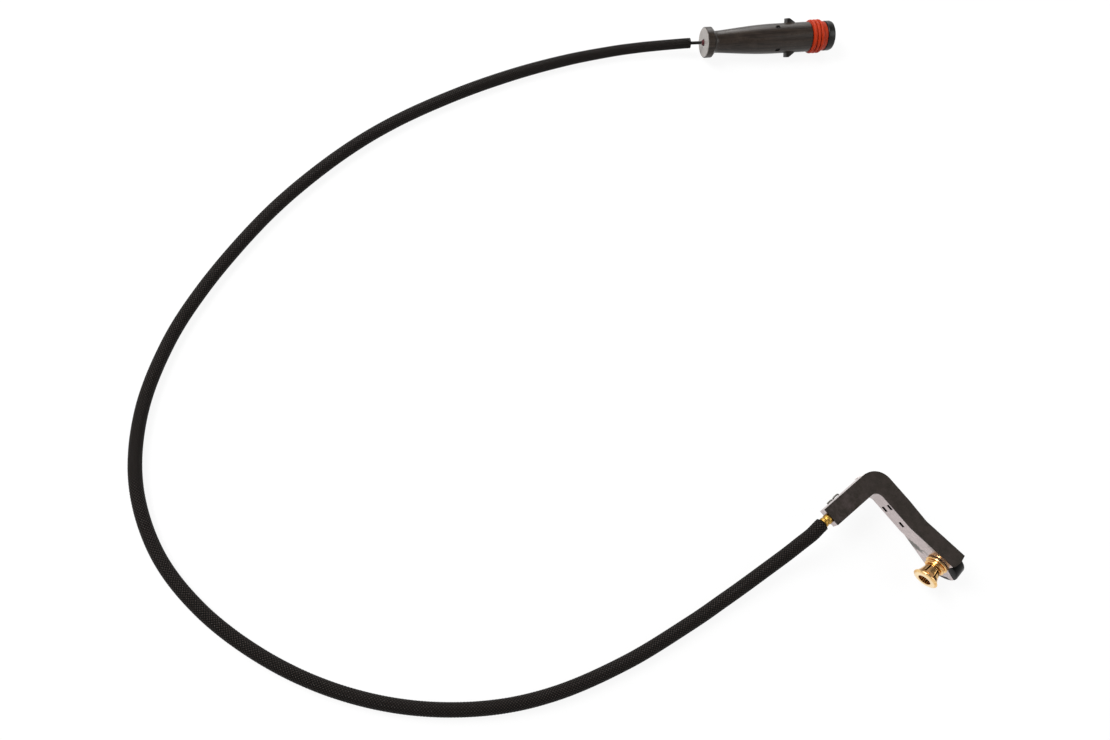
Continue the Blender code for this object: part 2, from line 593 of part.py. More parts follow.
for name, turn in (("terminal_pin_a", -1.0), ("terminal_pin_b", 1.0)):
    start = CONN_LENGTH - SOCKET_DEPTH - 4.0 + GAP
    end = CONN_LENGTH - SOCKET_DEPTH + PIN_REACH
    pin_profile = ((0.0, start), (PIN_RADIUS, start), (PIN_RADIUS, end - 0.8), (PIN_RADIUS * 0.5, end), (0.0, end))
    keep(lathe(name, pin_profile, TIN, 24, roll @ Matrix.Translation(Vector((0.0, PIN_APART / 2 * turn, 0.0)) * MM)))

# Grommet in the flange's back face, and the two bare leads from the sleeve to it.
grommet_profile = ((0.0, -0.9), (1.1, -0.9), (1.5, -0.5), (1.6, 0.0), (1.6, 2.7), (0.0, 2.7))
keep(lathe("lead_grommet", grommet_profile, RED, 32, lay))
last = Vector(ROUTE[-1])
before = Vector(ROUTE[-2])
heading_out = (last - before).normalized()
start = last + heading_out * GAP
axis = Vector((math.cos(math.radians(CONN_ANGLE)), math.sin(math.radians(CONN_ANGLE)), 0.0))
end = Vector((CONN_BACK[0], CONN_BACK[1], conn_z)) - axis * (0.9 + GAP)
for name, lift in (("lead_upper", LEAD_SPREAD), ("lead_lower", -LEAD_SPREAD)):
    path = []
    for step in range(7):
        share = step / 6
        spot = start.lerp(end, share)
        spot.z += lift * 1.0
        path.append(spot)
    cord(name, path, LEAD, RUBBER, 2)

# The row's origin: middle of the bracket pieces' box, on the floor.
CORD_NODES = ("sleeve", "lead_upper", "lead_lower", "lead_grommet", "connector_shell", "seal_ring",
              "terminal_pin_a", "terminal_pin_b")
low = Vector((1e9, 1e9, 1e9))
high = Vector((-1e9, -1e9, -1e9))
for name, target in PLACED.items():
    if name in CORD_NODES:
        continue
    for vertex in target.data.vertices:
        for axis_index in range(3):
            low[axis_index] = min(low[axis_index], vertex.co[axis_index])
            high[axis_index] = max(high[axis_index], vertex.co[axis_index])
shift = Vector((-(low.x + high.x) / 2, -(low.y + high.y) / 2, -low.z))
for target in PLACED.values():
    if target.type == "CURVE":
        for point in target.data.splines[0].points:
            point.co = (point.co.x + shift.x, point.co.y + shift.y, point.co.z + shift.z, 1.0)
    else:
        target.data.transform(Matrix.Translation(shift))
bpy.context.view_layer.update()
print("shift in mm", [round(value / MM, 3) for value in shift])
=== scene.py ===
import math

import bmesh
import bpy
import numpy as np
from mathutils import Matrix, Vector


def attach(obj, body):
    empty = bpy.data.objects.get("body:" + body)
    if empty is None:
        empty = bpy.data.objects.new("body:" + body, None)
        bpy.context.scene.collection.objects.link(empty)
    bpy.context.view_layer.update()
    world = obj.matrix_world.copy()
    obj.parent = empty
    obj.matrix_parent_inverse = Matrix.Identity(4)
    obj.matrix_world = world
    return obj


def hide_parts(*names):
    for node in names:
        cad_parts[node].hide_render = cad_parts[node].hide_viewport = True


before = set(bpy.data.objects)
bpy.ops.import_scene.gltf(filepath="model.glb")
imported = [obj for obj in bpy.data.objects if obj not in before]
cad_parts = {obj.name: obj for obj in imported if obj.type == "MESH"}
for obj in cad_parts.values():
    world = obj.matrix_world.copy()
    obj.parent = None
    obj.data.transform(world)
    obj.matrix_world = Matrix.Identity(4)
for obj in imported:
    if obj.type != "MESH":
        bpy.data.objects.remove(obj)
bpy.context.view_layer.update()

MM = 0.001
SHIFT = Vector((-18.772, 9.997, 0.0))          # from the bracket's own axes to the row's
ROW = Matrix.Translation(SHIFT * MM)

# The camera at the photograph's place: the picture in pixels, the place in the row's millimetres
IMAGE_WIDTH = 1110
IMAGE_HEIGHT = 740
FOCAL = 1009.39
CENTRE = (487.08, 348.20)
SENSOR = 36.0
NEAREST = 0.01
EYE = Vector((-94.751, -221.021, 476.109))
RIGHT = Vector((0.61761085, 0.78146909, 0.08867299))
DOWN = Vector((0.76213706, -0.56683981, -0.31279342))
AHEAD = Vector((-0.19417501, 0.26076558, -0.94567298))

scene = bpy.context.scene
lens = bpy.data.cameras.new("camera")
lens.sensor_width = SENSOR
lens.sensor_fit = "HORIZONTAL"
lens.lens = FOCAL * SENSOR / IMAGE_WIDTH
lens.shift_x = (IMAGE_WIDTH / 2 - CENTRE[0]) / IMAGE_WIDTH
lens.shift_y = (CENTRE[1] - IMAGE_HEIGHT / 2) / IMAGE_WIDTH
lens.clip_start = NEAREST
camera = bpy.data.objects.new("camera", lens)
scene.collection.objects.link(camera)
camera.matrix_world = Matrix((
    (RIGHT.x, -DOWN.x, -AHEAD.x, EYE.x * MM), (RIGHT.y, -DOWN.y, -AHEAD.y, EYE.y * MM),
    (RIGHT.z, -DOWN.z, -AHEAD.z, EYE.z * MM), (0, 0, 0, 1)))
scene.camera = camera
scene.view_settings.view_transform = "Standard"

# Where a material changes, in metres: it starts at the first value and is whole at the second
WORN_TOWARD = (0.012, -0.012)                  # row y, from the bend to the short arm's end
BEHIND_SLOTS = (0.0190, 0.01915)               # row z, top of the moulding seen through the slots; faces below it are painted near black as painted shade
FOOT_FROM = (0.0092, 0.0094)                   # row y, the moulding's step beside the bend
FOOT_TO = (0.0100, 0.0102)
FOOT_SIDE = (-0.0290, -0.0285)                 # row x
PAINTED_PALE_TOP = (0.0187, 0.0189)                   # row z, under it the outer wall is painted pale as a painted reflection
SLOT_WALL_TOP = (0.0184, 0.0186)               # row z, walls inside the sheet's slots, painted near black as painted shade
SLOT_WALL_SIDE = (0.0050, 0.0055)              # row x
DENT_FROM = (0.0393, 0.0396)                   # along the plug, its dimples, painted near black as painted shade
DENT_TO = (0.0430, 0.0433)
DENT_RADIUS = (0.0076, 0.0079)
TIP_FROM = (0.0694, 0.0700)                    # along the plug, beyond the seal
LUG_FROM = (0.0083, 0.0089)                    # plug radius
BACK_FACE = (0.0000, 0.00045)                  # along the plug, its back face is painted light grey as a painted reflection
FACE_PALE = (-0.0003, -0.0001)                 # before the bush's front, where its face is painted pale as a painted highlight
BORE_DARK = (0.0001, 0.0003)                   # outside the bush's bore; inside it is painted dark as painted shade
THREADS = 5                                    # threads in a bundle of the braid


# materials

class Graph:
    """A node tree with a few short ways to add nodes."""

    def __init__(self, tree):
        self.tree = tree

    def add(self, kind):
        return self.tree.nodes.new(kind)

    def link(self, out, into):
        self.tree.links.new(out, into)

    def where(self, kind="Object"):
        return self.add("ShaderNodeTexCoord").outputs[kind]

    def turned(self, out, location=(0, 0, 0), rotation=(0, 0, 0), scale=(1, 1, 1)):
        node = self.add("ShaderNodeMapping")
        node.inputs["Location"].default_value = location
        node.inputs["Rotation"].default_value = rotation
        node.inputs["Scale"].default_value = scale
        self.link(out, node.inputs["Vector"])
        return node.outputs[0]

    def noise(self, out, scale, detail=3.0, roughness=0.55):
        node = self.add("ShaderNodeTexNoise")
        node.inputs["Scale"].default_value = scale
        node.inputs["Detail"].default_value = detail
        node.inputs["Roughness"].default_value = roughness
        self.link(out, node.inputs["Vector"])
        return node.outputs["Fac"]

    def span(self, out, low, high, to_low=0.0, to_high=1.0, smooth=False):
        node = self.add("ShaderNodeMapRange")
        node.interpolation_type = "SMOOTHSTEP" if smooth else "LINEAR"
        node.inputs["From Min"].default_value = low
        node.inputs["From Max"].default_value = high
        node.inputs["To Min"].default_value = to_low
        node.inputs["To Max"].default_value = to_high
        self.link(out, node.inputs["Value"])
        return node.outputs["Result"]

    def below(self, out, low, high):
        """One up to the low value, nothing from the high value on."""
        return self.span(out, low, high, 1.0, 0.0)

    def math(self, operation, first, second=None):
        node = self.add("ShaderNodeMath")
        node.operation = operation
        for index, value in enumerate((first, second)):
            if value is None:
                continue
            if isinstance(value, (int, float)):
                node.inputs[index].default_value = value
            else:
                self.link(value, node.inputs[index])
        return node.outputs[0]

    def times(self, first, second):
        return self.math("MULTIPLY", first, second)

    def plus(self, first, second):
        return self.math("ADD", first, second)

    def distance(self, out, centre):
        node = self.add("ShaderNodeVectorMath")
        node.operation = "DISTANCE"
        self.link(out, node.inputs[0])
        node.inputs[1].default_value = centre
        return node.outputs["Value"]

    def axes(self, out):
        node = self.add("ShaderNodeSeparateXYZ")
        self.link(out, node.inputs[0])
        return node.outputs

    def polar(self, out):
        """Distance from the Z axis, and place along it."""
        x, y, along = self.axes(out)
        squares = self.plus(self.times(x, x), self.times(y, y))
        return self.math("SQRT", squares), along

    def mix(self, factor, first, second):
        node = self.add("ShaderNodeMix")
        node.data_type = "RGBA"
        self.link(factor, node.inputs["Factor"])
        for socket, value in ((node.inputs[6], first), (node.inputs[7], second)):
            if isinstance(value, tuple):
                socket.default_value = (*value, 1.0)
            else:
                self.link(value, socket)
        return node.outputs[2]

    def seen(self, factor):
        """The factor for rays from the camera and for reflections, nothing for other rays."""
        ray = self.add("ShaderNodeLightPath")
        either = self.math("MAXIMUM", ray.outputs["Is Camera Ray"], ray.outputs["Is Glossy Ray"])
        return self.times(either, factor)


class Shader(Graph):
    """A surface material around one Principled shader."""

    def __init__(self, name, colour, metallic=0.0, roughness=0.5, specular=0.5):
        self.material = bpy.data.materials.new(name)
        self.material.use_nodes = True
        super().__init__(self.material.node_tree)
        self.main = self.tree.nodes["Principled BSDF"]
        self.set("Base Color", (*colour, 1.0))
        self.set("Metallic", metallic)
        self.set("Roughness", roughness)
        self.set("Specular IOR Level", specular)

    def set(self, socket, value):
        self.main.inputs[socket].default_value = value

    def colour(self, out):
        self.link(out, self.main.inputs["Base Color"])

    def rough(self, out):
        self.link(out, self.main.inputs["Roughness"])

    def bump(self, height, strength, distance):
        node = self.add("ShaderNodeBump")
        node.inputs["Strength"].default_value = strength
        node.inputs["Distance"].default_value = distance
        self.link(height, node.inputs["Height"])
        self.link(node.outputs[0], self.main.inputs["Normal"])


def black_moulding():
    """Matt black-brown moulding with a fine speckle; a pale painted reflection on its outer wall low down,
    and painted shade seen through the slots.
    """
    s = Shader("black_moulding", (0.020, 0.014, 0.010), 0.0, 0.52, 0.22)
    spot = s.where()
    x, y, z = s.axes(spot)
    facing_x, facing_y, _ = s.axes(s.where("Normal"))
    fine = s.noise(spot, 2600.0, 2.0, 0.6)
    wide = s.noise(spot, 160.0, 4.0, 0.6)
    blots = s.span(s.noise(spot, 330.0, 4.0, 0.65), 0.42, 0.68)
    tone = s.mix(s.span(fine, 0.35, 0.70), (0.007, 0.0045, 0.0025), (0.017, 0.012, 0.008))
    tone = s.mix(s.span(wide, 0.42, 0.75, 0.0, 0.6), tone, (0.026, 0.018, 0.015))
    worn = s.times(s.span(y, *WORN_TOWARD, 0.25, 1.0), blots)
    tone = s.mix(s.times(worn, 0.6), tone, (0.050, 0.036, 0.037))
    # painted shade: faces that look out through the slots, below the moulding's top, are painted near black
    # and made rougher
    through_slot_shade = s.times(s.below(facing_y, -0.75, -0.6), s.below(z, *BEHIND_SLOTS))
    tone = s.mix(through_slot_shade, tone, (0.0015, 0.0013, 0.0012))
    # painted reflection: the outer wall low down and the step beside the bend are painted pale, the colour of
    # the steel
    foot = s.times(s.span(y, *FOOT_FROM), s.below(y, *FOOT_TO))
    foot = s.times(foot, s.below(x, *FOOT_SIDE))
    painted_pale_wall = s.math("MAXIMUM", s.below(facing_x, -0.94, -0.90), foot)
    painted_pale_wall = s.times(painted_pale_wall, s.below(z, *PAINTED_PALE_TOP))
    s.colour(s.mix(painted_pale_wall, tone, (0.56, 0.51, 0.49)))
    s.rough(s.plus(s.span(wide, 0.3, 0.7, 0.48, 0.64), s.times(through_slot_shade, 0.3)))
    s.bump(fine, 0.35, 0.00006)
    return s.material


def connector_plastic(location, rotation):
    """Satin moulding with faint streaks along it; the plug's back face is painted light grey, a patchy
    painted reflection.
    """
    s = Shader("connector_plastic", (0.018, 0.012, 0.008), 0.0, 0.36, 0.24)
    spot = s.where()
    own = s.turned(spot, location, rotation)
    out_from, along = s.polar(own)
    fine = s.noise(spot, 1500.0, 3.0, 0.6)
    wide = s.noise(spot, 90.0, 4.0, 0.6)
    streaks = s.noise(s.turned(own, scale=(900.0, 900.0, 45.0)), 1.0, 4.0, 0.6)
    tone = s.mix(s.span(wide, 0.35, 0.75), (0.0200, 0.0140, 0.0105), (0.037, 0.0275, 0.0215))
    tone = s.mix(s.span(streaks, 0.42, 0.66, 0.0, 0.8), tone, (0.004, 0.0025, 0.002))
    # painted shade: the dimples are painted near black; the tip beyond the seal and the lugs are near black
    # too
    dimple_shade = s.times(s.span(along, *DENT_FROM), s.below(out_from, *DENT_RADIUS))
    dimple_shade = s.times(dimple_shade, s.below(along, *DENT_TO))
    black = s.math("MAXIMUM", s.span(along, *TIP_FROM), s.span(out_from, *LUG_FROM, 0.0, 0.8))
    black = s.math("MAXIMUM", black, dimple_shade)
    tone = s.mix(black, tone, (0.0045, 0.0036, 0.0032))
    # painted reflection: the back face is painted light grey, patchy with noise
    back = s.span(along, *BACK_FACE, 1.0, 0.0, True)
    patchy_sheen = s.span(s.noise(spot, 420.0, 4.0, 0.7), 0.3, 0.7, 0.75, 1.0)
    s.colour(s.mix(s.times(back, patchy_sheen), tone, (0.28, 0.26, 0.245)))
    s.rough(s.plus(s.span(fine, 0.3, 0.7, 0.22, 0.31), s.span(streaks, 0.3, 0.7, 0.0, 0.14)))
    s.bump(s.plus(fine, s.times(streaks, 0.8)), 0.25, 0.00004)
    return s.material


def gloss_moulding():
    """Smooth, nearly black moulding of the head."""
    s = Shader("head_plastic", (0.003, 0.0027, 0.0027), 0.0, 0.16, 0.08)
    wide = s.noise(s.where(), 220.0, 3.0, 0.6)
    s.colour(s.mix(s.span(wide, 0.35, 0.7), (0.0015, 0.0013, 0.0012), (0.0045, 0.0038, 0.0036)))
    s.rough(s.span(wide, 0.3, 0.75, 0.12, 0.26))
    s.bump(wide, 0.12, 0.00004)
    return s.material


def carrier_steel():
    """Bright steel, grain along the long arm, a few darker grey patches, and painted shade on the slot walls.
    """
    s = Shader("carrier_steel", (0.66, 0.62, 0.60), 0.9, 0.36, 0.5)
    spot = s.where()
    x, _, z = s.axes(spot)
    facing_z = s.axes(s.where("Normal"))[2]
    grain = s.noise(s.turned(spot, scale=(60.0, 2600.0, 2600.0)), 1.0, 5.0, 0.65)
    wide = s.noise(s.turned(spot, scale=(90.0, 260.0, 260.0)), 1.0, 4.0, 0.6)
    tone = s.mix(s.span(grain, 0.35, 0.68), (0.42, 0.355, 0.350), (0.62, 0.545, 0.540))
    tone = s.mix(s.span(wide, 0.45, 0.75, 0.0, 0.40), tone, (0.36, 0.300, 0.290))
    for centre, size, share, stretch in DARK_PATCHES:
        back = (-centre[0] * stretch, -centre[1] * stretch, -centre[2])
        local = s.turned(spot, back, scale=(stretch, stretch, 1.0))
        ragged = s.span(s.noise(spot, 900.0, 3.0), 0.3, 0.7, -0.0006, 0.0006)
        ragged = s.plus(s.distance(local, (0.0, 0.0, 0.0)), ragged)
        dark_patch = s.span(ragged, size * 0.5, size * 1.15, share, 0.0, True)
        tone = s.mix(dark_patch, tone, (0.095, 0.095, 0.082))
    # painted shade: the walls inside the slots are painted near black
    slot = s.times(s.span(facing_z, 0.6, 0.7), s.below(z, *SLOT_WALL_TOP))
    slot = s.times(slot, s.below(x, *SLOT_WALL_SIDE))
    s.colour(s.mix(slot, tone, (0.012, 0.010, 0.009)))
    polished = s.span(s.distance(spot, BUSH_FOOT), 0.006, 0.011, 0.55, 1.0, True)
    s.rough(s.times(s.span(grain, 0.3, 0.7, 0.26, 0.42), polished))
    s.set("Anisotropic", 0.3)
    s.bump(grain, 0.18, 0.00005)
    return s.material


def brass(name, light, dark, roughness, place=None, bore=0.0, front=1.0):
    """Bright brass. Where a place is given, the bore has painted shade and the front face a pale painted
    highlight.
    """
    s = Shader(name, light, 1.0, roughness, 0.5)
    spot = s.where()
    wide = s.noise(spot, 380.0, 4.0, 0.6)
    fine = s.noise(spot, 2600.0, 3.0, 0.6)
    tone = s.mix(s.span(wide, 0.36, 0.70), light, dark)
    if place:
        out_from, along = s.polar(s.turned(spot, *place))
        # painted highlight on the front face, painted shade in the bore
        pale = s.span(along, front + FACE_PALE[0], front + FACE_PALE[1], 0.0, 0.6)
        bore_shade = s.below(out_from, bore + BORE_DARK[0], bore + BORE_DARK[1])
        tone = s.mix(pale, tone, (1.0, 0.86, 0.60))
        tone = s.mix(bore_shade, tone, (0.40, 0.19, 0.060))
    s.colour(tone)
    s.rough(s.span(fine, 0.3, 0.7, roughness * 0.75, roughness * 1.4))
    s.bump(fine, 0.06, 0.00002)
    return s.material


def wire_steel():
    s = Shader("wire_steel", (0.10, 0.096, 0.085), 0.6, 0.62, 0.3)
    wide = s.noise(s.where(), 900.0, 3.0, 0.6)
    s.colour(s.mix(s.span(wide, 0.3, 0.7), (0.075, 0.072, 0.063), (0.135, 0.130, 0.115)))
    return s.material


def seal_rubber(name, light, dark):
    s = Shader(name, light, 0.0, 0.48, 0.14)
    spot = s.where()
    wide = s.noise(spot, 200.0, 4.0, 0.6)
    fine = s.noise(spot, 1800.0, 2.0, 0.6)
    s.colour(s.mix(s.span(wide, 0.3, 0.72), light, dark))
    s.rough(s.span(fine, 0.3, 0.7, 0.42, 0.58))
    s.bump(fine, 0.10, 0.00002)
    return s.material


def lead_rubber():
    s = Shader("lead_rubber", (0.008, 0.006, 0.005), 0.0, 0.5, 0.2)
    spot = s.where()
    wide = s.noise(spot, 300.0, 3.0)
    s.colour(s.mix(s.span(wide, 0.35, 0.7), (0.005, 0.0035, 0.003), (0.012, 0.008, 0.006)))
    s.bump(s.noise(spot, 1200.0, 2.0), 0.2, 0.00003)
    return s.material


def plain_metal(name, low, high, roughness):
    s = Shader(name, low, 1.0, roughness, 0.5)
    wide = s.noise(s.where(), 1500.0, 3.0, 0.6)
    s.colour(s.mix(s.span(wide, 0.3, 0.7), low, high))
    return s.material


def braid_cloth():
    """Black braid: UV runs along the sleeve in bundle pitches and around it in bundles."""
    s = Shader("sleeve_cloth", (0.009, 0.007, 0.006), 0.0, 0.50, 0.13)
    spot = s.where()
    u, v, _ = s.axes(s.where("UV"))
    one = s.plus(u, v)
    two = s.math("SUBTRACT", u, v)
    cell = s.plus(s.math("FLOOR", one), s.math("FLOOR", two))
    over = s.math("PINGPONG", cell, 1.0)
    under = s.math("SUBTRACT", 1.0, over)
    threads_one = s.math("SINE", s.times(one, 2 * math.pi * THREADS))
    threads_two = s.math("SINE", s.times(two, 2 * math.pi * THREADS))
    threads = s.plus(s.times(threads_one, over), s.times(threads_two, under))
    wave_one = s.math("SINE", s.times(one, math.pi))
    wave_two = s.math("SINE", s.times(two, math.pi))
    humps = s.math("ABSOLUTE", s.times(wave_one, wave_two))
    fuzz = s.noise(spot, 3500.0, 3.0, 0.7)
    wide = s.noise(spot, 45.0, 4.0, 0.6)
    height = s.plus(humps, s.times(threads, 0.16))
    height = s.plus(height, s.times(fuzz, 0.35))
    # painted shade: the valleys between the bundles are near black and the hump tops lighter
    tone = s.mix(s.span(humps, 0.30, 1.00), (0.0001, 0.0001, 0.0001), (0.0210, 0.0142, 0.0110))
    tone = s.mix(s.span(fuzz, 0.55, 0.80, 0.0, 0.5), tone, (0.016, 0.0120, 0.0100))
    s.colour(s.mix(s.span(wide, 0.40, 0.75, 0.0, 0.35), tone, (0.006, 0.0042, 0.0035)))
    s.rough(s.span(humps, 0.2, 0.9, 0.90, 0.28))
    s.bump(height, 0.8, 0.00019)
    return s.material


# building helpers, in millimetres

ON_AXIS = 1e-6               # a smaller radius is a point on the axis
WELD = 1e-7                  # metres
SHARP = 38.0                 # degrees, edges over it stay sharp
SHARP_CUT = 32.0             # the same after pieces were cut or joined
SHARP_RIBBED = 50.0          # the same on rounded rings
BEVELLED = 35.0              # degrees, edges over it are bevelled
SOFT_SHARE = 0.45            # how much of a side a rounded corner takes
SOFT_MOST = 0.25             # and how much at most
THREAD_SIDES = 5


def crisp(target, angle):
    mesh = target.data
    mesh.polygons.foreach_set("use_smooth", [True] * len(mesh.polygons))
    mesh.set_sharp_from_angle(angle=math.radians(angle))


def as_object(name, built, surface=None, sharp=None):
    bmesh.ops.remove_doubles(built, verts=built.verts, dist=WELD)
    bmesh.ops.recalc_face_normals(built, faces=built.faces)
    mesh = bpy.data.meshes.new(name)
    built.to_mesh(mesh)
    built.free()
    made = bpy.data.objects.new(name, mesh)
    scene.collection.objects.link(made)
    if surface is not None:
        mesh.materials.append(surface)
    if sharp is not None:
        crisp(made, sharp)
    return made


def lathe(name, profile, surface=None, segments=128, place=None, sharp=SHARP):
    """A solid of revolution about its own Z, from (radius, height) pairs; place moves it."""
    built = bmesh.new()
    rings = []
    for radius, height in profile:
        if radius < ON_AXIS:
            rings.append([built.verts.new((0.0, 0.0, height * MM))])
            continue
        ring = []
        for step in range(segments):
            turn = 2 * math.pi * step / segments
            x = radius * MM * math.cos(turn)
            y = radius * MM * math.sin(turn)
            ring.append(built.verts.new((x, y, height * MM)))
        rings.append(ring)
    pairs = list(zip(rings, rings[1:]))
    if profile[0][0] > ON_AXIS and profile[-1][0] > ON_AXIS:
        pairs.append((rings[-1], rings[0]))
    for first, second in pairs:
        if len(first) == 1 and len(second) == 1:
            continue
        for step in range(segments):
            after = (step + 1) % segments
            if len(first) == 1:
                built.faces.new((first[0], second[step], second[after]))
            elif len(second) == 1:
                built.faces.new((first[step], second[0], first[after]))
            else:
                built.faces.new((first[step], second[step], second[after], first[after]))
    made = as_object(name, built, surface, sharp)
    if place is not None:
        made.data.transform(place)
    return made


def prism(name, outline, low, high, place=None):
    """A straight prism over a closed outline in X and Y, from low to high in Z."""
    built = bmesh.new()
    rings = []
    for level in (low, high):
        rings.append([built.verts.new((a * MM, b * MM, level * MM)) for a, b in outline])
    built.faces.new(rings[0])
    built.faces.new(list(reversed(rings[1])))
    for index in range(len(outline)):
        after = (index + 1) % len(outline)
        built.faces.new((rings[0][index], rings[0][after], rings[1][after], rings[1][index]))
    made = as_object(name, built)
    if place is not None:
        made.data.transform(place)
    return made


def block(name, low, high, place=None):
    outline = ((low[0], low[1]), (high[0], low[1]), (high[0], high[1]), (low[0], high[1]))
    return prism(name, outline, low[2], high[2], place)


def thread(name, thickness, spots, surface):
    """A round thread through the places, with closed ends."""
    line = bpy.data.curves.new(name, "CURVE")
    line.dimensions = "3D"
    line.bevel_depth = thickness / 2 * MM
    line.bevel_resolution = THREAD_SIDES
    line.use_fill_caps = True
    spline = line.splines.new("POLY")
    spline.points.add(len(spots) - 1)
    for point, spot in zip(spline.points, spots):
        point.co = (*((spot + SHIFT) * MM), 1.0)
    made = bpy.data.objects.new(name, line)
    scene.collection.objects.link(made)
    line.materials.append(surface)
    return made


def settle(target):
    """Makes the modifiers' result the mesh."""
    bpy.context.view_layer.update()
    graph = bpy.context.evaluated_depsgraph_get()
    fresh = bpy.data.meshes.new_from_object(target.evaluated_get(graph))
    target.modifiers.clear()
    old = target.data
    fresh.name = target.name
    target.data = fresh
    bpy.data.meshes.remove(old)


def combine(target, cutter, mode):
    change = target.modifiers.new("change", "BOOLEAN")
    change.operation = mode
    change.solver = "EXACT"
    change.object = cutter
    settle(target)
    bpy.data.objects.remove(cutter, do_unlink=True)


def bevel(target, width, segments):
    change = target.modifiers.new("edge", "BEVEL")
    change.width = width * MM
    change.segments = segments
    change.limit_method = "ANGLE"
    change.angle_limit = math.radians(BEVELLED)
    settle(target)
    crisp(target, SHARP)


def soft_profile(points, count=4):
    """Rounds the corners of a (radius, height) profile."""
    rounded = [points[0]]
    for before, here, after in zip(points, points[1:], points[2:]):
        if here[0] < ON_AXIS:
            rounded.append(here)
            continue
        a = Vector(before) - Vector(here)
        b = Vector(after) - Vector(here)
        cut = min(SOFT_MOST, SOFT_SHARE * min(a.length, b.length))
        start = Vector(here) + a.normalized() * cut
        end = Vector(here) + b.normalized() * cut
        for step in range(count + 1):
            t = step / count
            spot = start * (1 - t) ** 2 + Vector(here) * 2 * t * (1 - t) + end * t * t
            rounded.append((spot.x, spot.y))
    rounded.append(points[-1])
    return rounded


def from_place(place):
    """Location and rotation that take row coordinates into a place's own axes."""
    inverse = place.inverted()
    return tuple(inverse.translation), tuple(inverse.to_euler())


def quarter(axis):
    return Matrix.Rotation(math.radians(90), 4, axis)


def put(piece, slot, *nodes):
    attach(piece, "root")
    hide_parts(*nodes)
    return piece


# the sleeve's route and the plug's place

SLEEVE = 6.5
SLEEVE_THIN = 0.85
SLEEVE_THIN_RUN = 120.0
CONN_BACK = (-240.2, 105.7)
CONN_ANGLE = 58.9
ROUTE = (
    (-8.0, -31.8, 16.9), (-7.8, -34.7, 16.7), (-7.4, -38.7, 15.8), (-7.4, -44.6, 13.5), (-7.4, -52.6, 10.3),
    (-7.9, -63.9, 7.2), (-8.6, -75.8, 5.0), (-9.7, -88.9, 4.0), (-11.8, -108.9, 3.6), (-17.1, -142.4, 3.6),
    (-27.0, -176.7, 3.6), (-41.7, -205.4, 3.6), (-63.4, -232.1, 3.6), (-90.0, -253.8, 3.6),
    (-120.4, -269.8, 3.6), (-153.8, -279.7, 3.6), (-186.7, -281.0, 3.6), (-218.7, -271.3, 3.6),
    (-245.8, -251.1, 3.6), (-266.7, -223.5, 3.6), (-280.8, -194.2, 3.6), (-292.2, -159.5, 3.6),
    (-298.8, -128.8, 3.6), (-302.2, -93.6, 3.6), (-301.3, -60.9, 3.6), (-295.8, -24.7, 3.6),
    (-287.8, 8.3, 3.6), (-278.1, 37.6, 3.75), (-267.8, 61.7, 4.2), (-259.8, 76.7, 5.2),
    (-253.3, 87.1, 6.4), (-247.4, 96.0, 7.6), (-244.8, 99.9, 8.0),
)
ROUTE_FINE = 60              # steps from one point of the route to the next
ROUTE_RINGS = 1680           # rings of the sleeve's mesh
SLEEVE_SIDES = 56
SLEEVE_SHARP = 60            # degrees
BUNDLES = 14                 # bundles of threads that run each way round
BUNDLE_PITCH = 1.46          # along the sleeve, millimetres per bundle
RELIEF = 0.12                # height of the bundles


def smooth_route(points, count):
    """Evenly spaced places on a smooth curve through the points."""
    knots = [Vector(point) for point in points]
    ends = [knots[0] * 2 - knots[1]] + knots + [knots[-1] * 2 - knots[-2]]
    dense = []
    for index in range(1, len(ends) - 2):
        p0, p1, p2, p3 = ends[index - 1:index + 3]
        for step in range(ROUTE_FINE):
            t = step / ROUTE_FINE
            dense.append(0.5 * ((2 * p1) + (p2 - p0) * t + (2 * p0 - 5 * p1 + 4 * p2 - p3) * t * t
                                + (3 * p1 - p0 - 3 * p2 + p3) * t ** 3))
    dense.append(knots[-1])
    run = [0.0]
    for first, second in zip(dense, dense[1:]):
        run.append(run[-1] + (second - first).length)
    places = []
    here = 0
    for step in range(count):
        want = run[-1] * step / (count - 1)
        while here < len(run) - 2 and run[here + 1] < want:
            here += 1
        share = (want - run[here]) / (run[here + 1] - run[here])
        places.append(dense[here].lerp(dense[here + 1], share))
    return places, run[-1]


route, route_length = smooth_route(ROUTE, ROUTE_RINGS)
places = np.array([tuple(point + SHIFT) for point in route])
ahead = np.gradient(places, axis=0)
ahead /= np.linalg.norm(ahead, axis=1)[:, None]
across = np.cross(ahead, (0.0, 0.0, 1.0))
across /= np.linalg.norm(across, axis=1)[:, None]
above = np.cross(across, ahead)
along = np.linspace(0.0, route_length, ROUTE_RINGS)
left = np.clip((route_length - along) / SLEEVE_THIN_RUN, 0.0, 1.0)
thin = SLEEVE_THIN + (1.0 - SLEEVE_THIN) * (3 * left ** 2 - 2 * left ** 3)
turn = np.arange(SLEEVE_SIDES) / SLEEVE_SIDES
one = along[:, None] / BUNDLE_PITCH + turn[None, :] * BUNDLES
two = along[:, None] / BUNDLE_PITCH - turn[None, :] * BUNDLES
relief = np.abs(np.sin(np.pi * one) * np.sin(np.pi * two)) - 0.5
radius = (SLEEVE / 2) * thin[:, None] + RELIEF * relief
angle = turn * 2 * np.pi
spots = places[:, None, :] + radius[:, :, None] * (
    np.cos(angle)[None, :, None] * across[:, None, :] + np.sin(angle)[None, :, None] * above[:, None, :])
verts = np.concatenate([spots.reshape(-1, 3), places[:1], places[-1:]]) * MM
faces = []
for ring in range(ROUTE_RINGS - 1):
    here = ring * SLEEVE_SIDES
    beyond = here + SLEEVE_SIDES
    for side in range(SLEEVE_SIDES):
        after = (side + 1) % SLEEVE_SIDES
        faces.append((here + side, here + after, beyond + after, beyond + side))
first_cap = ROUTE_RINGS * SLEEVE_SIDES
